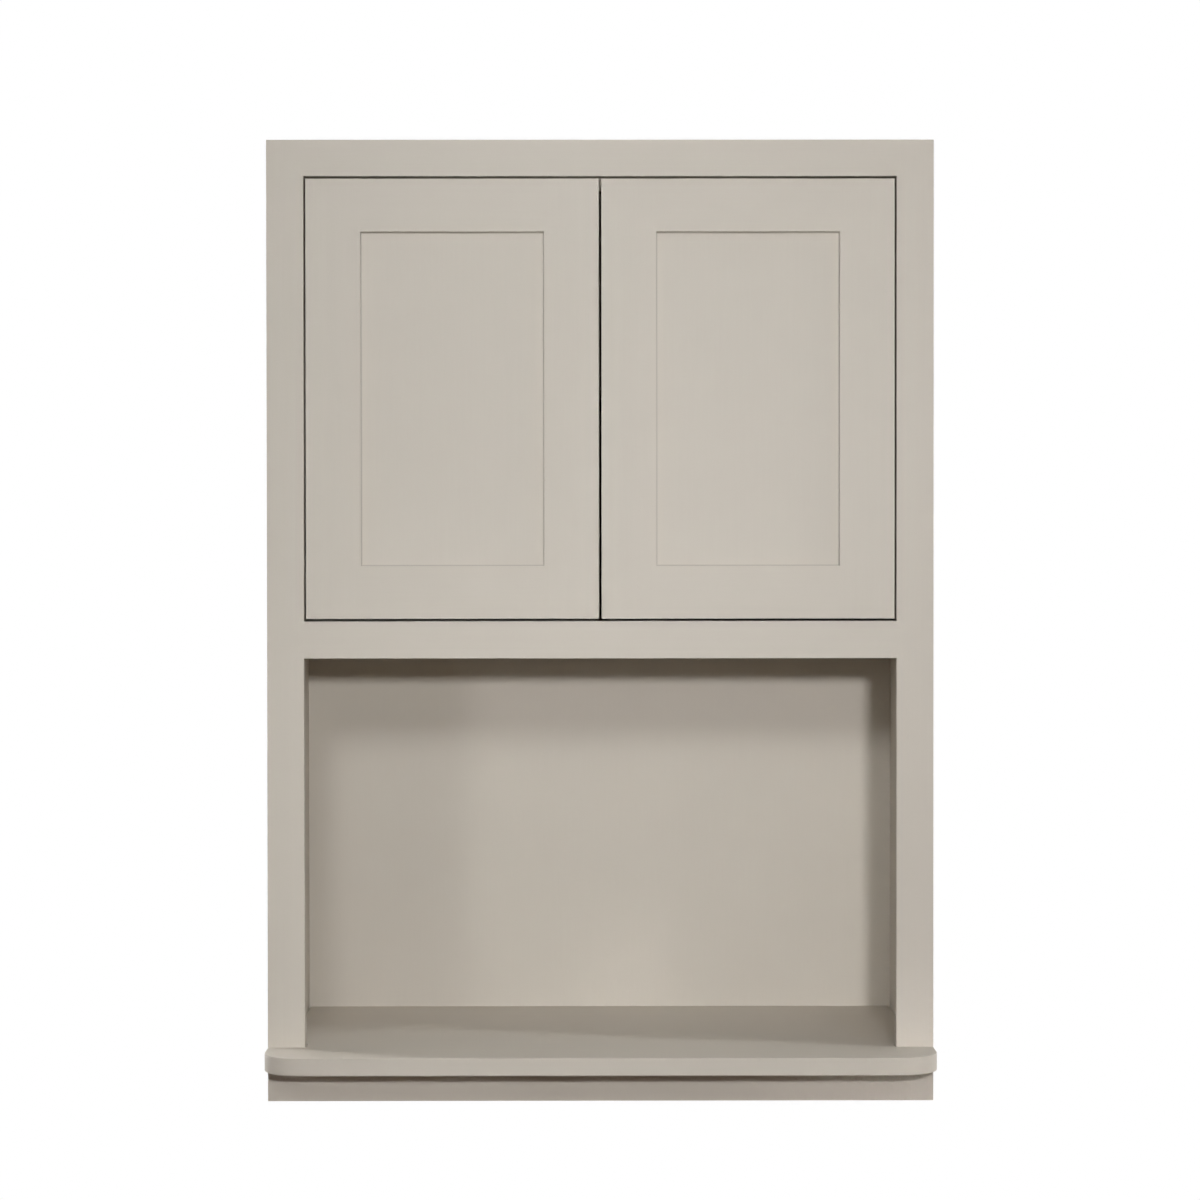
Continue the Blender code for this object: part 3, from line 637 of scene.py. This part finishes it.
def hinge_screws(tree, material):
    """Two screws in each cup's flange, two in each plate and one that clamps each arm."""
    on_cabinet = []
    for hand, way in zip(HANDS, (1.0, -1.0)):
        on_door = []
        for level in LEVELS:
            stem = f"{hand}_{level}_hinge_"
            cup = middle_of(stem + "cup")
            flange_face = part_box(stem + "cup")[1].y
            plate = middle_of(stem + "plate")
            plate_low, plate_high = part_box(stem + "plate")
            plate_face = plate_high.x if way > 0 else plate_low.x
            for step in (-0.5, 0.5):
                spot = Vector((cup.x, flange_face, cup.z + step * CUP_SCREW_PITCH))
                on_door.append((spot, (0.0, 1.0, 0.0)))
                spot = Vector((plate_face, plate.y, plate.z + step * PLATE_SCREW_PITCH))
                on_cabinet.append((spot, (way, 0.0, 0.0)))
            clamp_y = plate_low.y + (plate_high.y - plate_low.y) * ARM_SCREW_PLACE
            spot = Vector((plate_face + way * (SEAT_GAP + ARM_T), clamp_y, plate.z))
            on_cabinet.append((spot, (way, 0.0, 0.0)))
        screws(hand + "_door_hinge_screws", hand + "_door", on_door, tree, material)
    screws("cabinet_hinge_screws", "cabinet", on_cabinet, tree, material)


def camera():
    data = bpy.data.cameras.new("photo_camera")
    data.lens = PHOTO_LENS
    data.sensor_width = PHOTO_SENSOR
    data.sensor_fit = "HORIZONTAL"
    obj = bpy.data.objects.new("photo_camera", data)
    obj.location = (CAMERA_SIDE, FRONT - CAMERA_DISTANCE, BOTTOM + CAMERA_HEIGHT)
    obj.rotation_euler = (math.pi / 2 - CAMERA_PITCH, CAMERA_ROLL, -CAMERA_YAW)
    bpy.context.scene.collection.objects.link(obj)
    bpy.context.scene.camera = obj


def seen(tree):
    """One for rays that show the background: from the camera, a reflection or through glass."""
    path = add(tree, "ShaderNodeLightPath").outputs
    shown = {0: path["Is Camera Ray"], 1: path["Is Glossy Ray"]}
    first = add(tree, "ShaderNodeMath", shown, operation="MAXIMUM")
    return add(tree, "ShaderNodeMath", {0: first, 1: path["Is Transmission Ray"]}, operation="MAXIMUM")


def world():
    """White to the eye, and a warm low fill on the object."""
    made = bpy.data.worlds.new("studio")
    made.use_nodes = True
    bpy.context.scene.world = made
    tree = made.node_tree
    tree.nodes.clear()
    fill = add(tree, "ShaderNodeBackground", {"Color": linear(FILL_COLOUR), "Strength": FILL_STRENGTH})
    white = add(tree, "ShaderNodeBackground", {"Color": linear(WHITE), "Strength": 1.0})
    mix = add(tree, "ShaderNodeMixShader", {0: seen(tree), 1: fill, 2: white})
    add(tree, "ShaderNodeOutputWorld", {"Surface": mix})


def floor():
    """Floor, as far under the cabinet as it hangs in a kitchen.

    It looks pale, keeps shadows and fades into the white, and throws back warm light as wood does.
    """
    level = BOTTOM - MOUNTING_HEIGHT
    mesh = bpy.data.meshes.new("floor")
    ring = [(-1, -1), (1, -1), (1, 1), (-1, 1)]
    mesh.from_pydata([(x * FLOOR_REACH, y * FLOOR_REACH, level) for x, y in ring], [], [(0, 1, 2, 3)])
    material, tree, place = new_material("pale_floor")
    flat = add(tree, "ShaderNodeVectorMath", {0: place, 1: (1.0, 1.0, 0.0)}, operation="MULTIPLY")
    distance = add(tree, "ShaderNodeVectorMath", {0: flat}, operation="LENGTH").outputs["Value"]
    inner, outer = (share * FLOOR_REACH for share in FLOOR_FADE)
    rim = {"Value": distance, "From Min": inner, "From Max": outer}
    fade = add(tree, "ShaderNodeMapRange", rim, interpolation_type="SMOOTHSTEP")
    pale = add(tree, "ShaderNodeBsdfDiffuse", {"Color": linear(FLOOR_PALE)})
    glow = add(tree, "ShaderNodeEmission", {"Color": linear(WHITE), "Strength": FLOOR_GLOW})
    white = add(tree, "ShaderNodeEmission", {"Color": linear(WHITE), "Strength": 1.0})
    near = add(tree, "ShaderNodeAddShader", {0: pale, 1: glow})
    shown = add(tree, "ShaderNodeMixShader", {0: fade, 1: near, 2: white})
    bounce = add(tree, "ShaderNodeBsdfDiffuse", {"Color": linear(FLOOR_BOUNCE)})
    mix = add(tree, "ShaderNodeMixShader", {0: seen(tree), 1: bounce, 2: shown})
    add(tree, "ShaderNodeOutputMaterial", {"Surface": mix})
    mesh.materials.append(material)
    obj = bpy.data.objects.new("floor", mesh)
    bpy.context.scene.collection.objects.link(obj)


def lamp(name, place, aim, size, power, beam=OPEN_BEAM):
    """Soft rectangular lamp pointed at a place on the cabinet. A grid narrows its beam, in degrees."""
    data = bpy.data.lights.new(name, "AREA")
    data.shape = "RECTANGLE"
    data.size, data.size_y = size
    data.energy = power
    data.spread = math.radians(beam)
    obj = bpy.data.objects.new(name, data)
    obj.location = place
    obj.rotation_euler = (Vector(aim) - Vector(place)).to_track_quat("-Z", "Y").to_euler()
    bpy.context.scene.collection.objects.link(obj)


def studio_lamps():
    """Lamps in front, placed by the shadows in the bay and on the shelf, and fills on the other sides."""
    front = FRONT - LAMP_DISTANCE
    high = (-0.34, front, BOTTOM + 1.56)
    middle = (0.0, FRONT, (BOTTOM + TOP) / 2)
    doors = (0.0, FRONT, BOTTOM + 0.88)
    bay = (-0.17, FRONT, BOTTOM + 0.26)
    nose = (0.0, FRONT - 0.03, SHELF_BOTTOM)
    left_tip = (-HALF, FRONT - 0.03, SHELF_BOTTOM)
    right_end = (HALF, FRONT, BOTTOM + 0.03)
    left_side = (-HALF, -0.15, BOTTOM + 0.5)
    right_side = (HALF, -0.15, BOTTOM + 0.5)
    # Key beside the camera: hard edges under the middle rail and at the right of the bay
    lamp("key_lamp", (0.35, front, BOTTOM + 0.81), middle, (0.17, 0.12), power=41.0)
    # Two softboxes high on the left, one open and one gridded on to the doors
    lamp("high_lamp", high, middle, SOFTBOX, power=2.5)
    lamp("door_lamp", high, doors, SOFTBOX, power=2.28, beam=50.0)
    # Gridded lamp from the left, which reaches into the bay and hardly on to the doors
    lamp("left_lamp", (-1.93, front, BOTTOM + 0.70), bay, (0.42, 0.36), power=0.170, beam=16.0)
    # Gridded lamp for the shelf on a boom over the camera
    lamp("shelf_lamp", (0.7, FRONT - 1.5, BOTTOM + 2.6), nose, (0.40, 0.20), power=0.14, beam=20.0)
    # Gridded lamps for the shelf's nose: high on the right, grazing the front, and on the left from behind
    # the plane of the front, so that the stile's shadow cuts across the nose
    lamp("right_lamp", (2.3, FRONT - 0.50, BOTTOM + 2.0), nose, SMALL_SOFTBOX, power=0.98, beam=40.0)
    lamp("tip_lamp", (-1.4, FRONT + 0.42, BOTTOM + 1.9), left_tip, SMALL_SOFTBOX, power=0.67, beam=40.0)
    # Small low lamp on the right end of the bottom rail
    lamp("kick_lamp", (1.5, FRONT - 1.5, BOTTOM + 0.1), right_end, (0.10, 0.10), power=0.026, beam=10.0)
    # Fills behind the plane of the front, which reach the sides, the back and the top alone
    lamp("left_fill", (-2.5, 1.9, BOTTOM + 0.6), left_side, FILL_PANEL, power=60.0)
    lamp("right_fill", (2.5, 1.9, BOTTOM + 0.6), right_side, FILL_PANEL, power=36.0)
    lamp("top_fill", (0.0, 0.6, TOP + 2.2), (0.0, -0.15, TOP), (1.0, 1.0), power=36.0)


bpy.context.scene.view_settings.view_transform = "Standard"
camera()
world()
floor()
studio_lamps()

upright_paint = sprayed_paint("sprayed_paint_upright_boards", ALONG_Z)
level_paint = sprayed_paint("sprayed_paint_level_boards", ALONG_X)
back_paint = half_painted_panel("sprayed_plywood_back", ALONG_Y, BACK_MIDDLE, ALONG_Z)
top_paint = half_painted_panel("sprayed_plywood_top", ALONG_Z, TOP_PANEL_TOP - TINY, ALONG_X)
side_paint = half_painted_panel("sprayed_plywood_sides", ALONG_Y, -SAWN_DEPTH, ALONG_Z, sawn=True)
bare_birch = bare_plywood("bare_birch_plywood", ALONG_X)
steel = plated_steel("nickel_plated_steel")

finishes = {
    "left_side_panel": side_paint,
    "right_side_panel": side_paint,
    "back_panel": back_paint,
    "top_panel": top_paint,
    "upper_hanging_rail": bare_birch,
    "lower_hanging_rail": bare_birch,
    "mid_deck": level_paint,
    "door_stop_strip": level_paint,
    "adjustable_shelf": level_paint,
    "left_shelf_cleat": bare_birch,
    "right_shelf_cleat": bare_birch,
}
for hand in HANDS:
    for level in LEVELS:
        finishes[f"{hand}_{level}_hinge_block"] = upright_paint
for node, finish in finishes.items():
    nodes[node].material_slots[0].material = finish

face_frame(upright_paint, level_paint)
dressed_copy(
    "painted", "microwave_shelf", "cabinet", "painted_wood", level_paint, smooth=SHELF_SMOOTH_UP_TO
)
for hand in HANDS:
    door(hand, upright_paint, level_paint)
    riders = {"cup": hand + "_door", "pin": hand + "_door", "arm": "cabinet", "plate": "cabinet"}
    for level in LEVELS:
        stem = f"{hand}_{level}_hinge_"
        for part, body in riders.items():
            dressed_copy("plated", stem + part, body, "plated_steel", steel, PRESSED_EDGE)
    for place in ("front", "rear"):
        dressed_copy("plated", f"{hand}_{place}_shelf_pin", "cabinet", "plated_steel", steel)
hinge_screws(screw_tree(), steel)
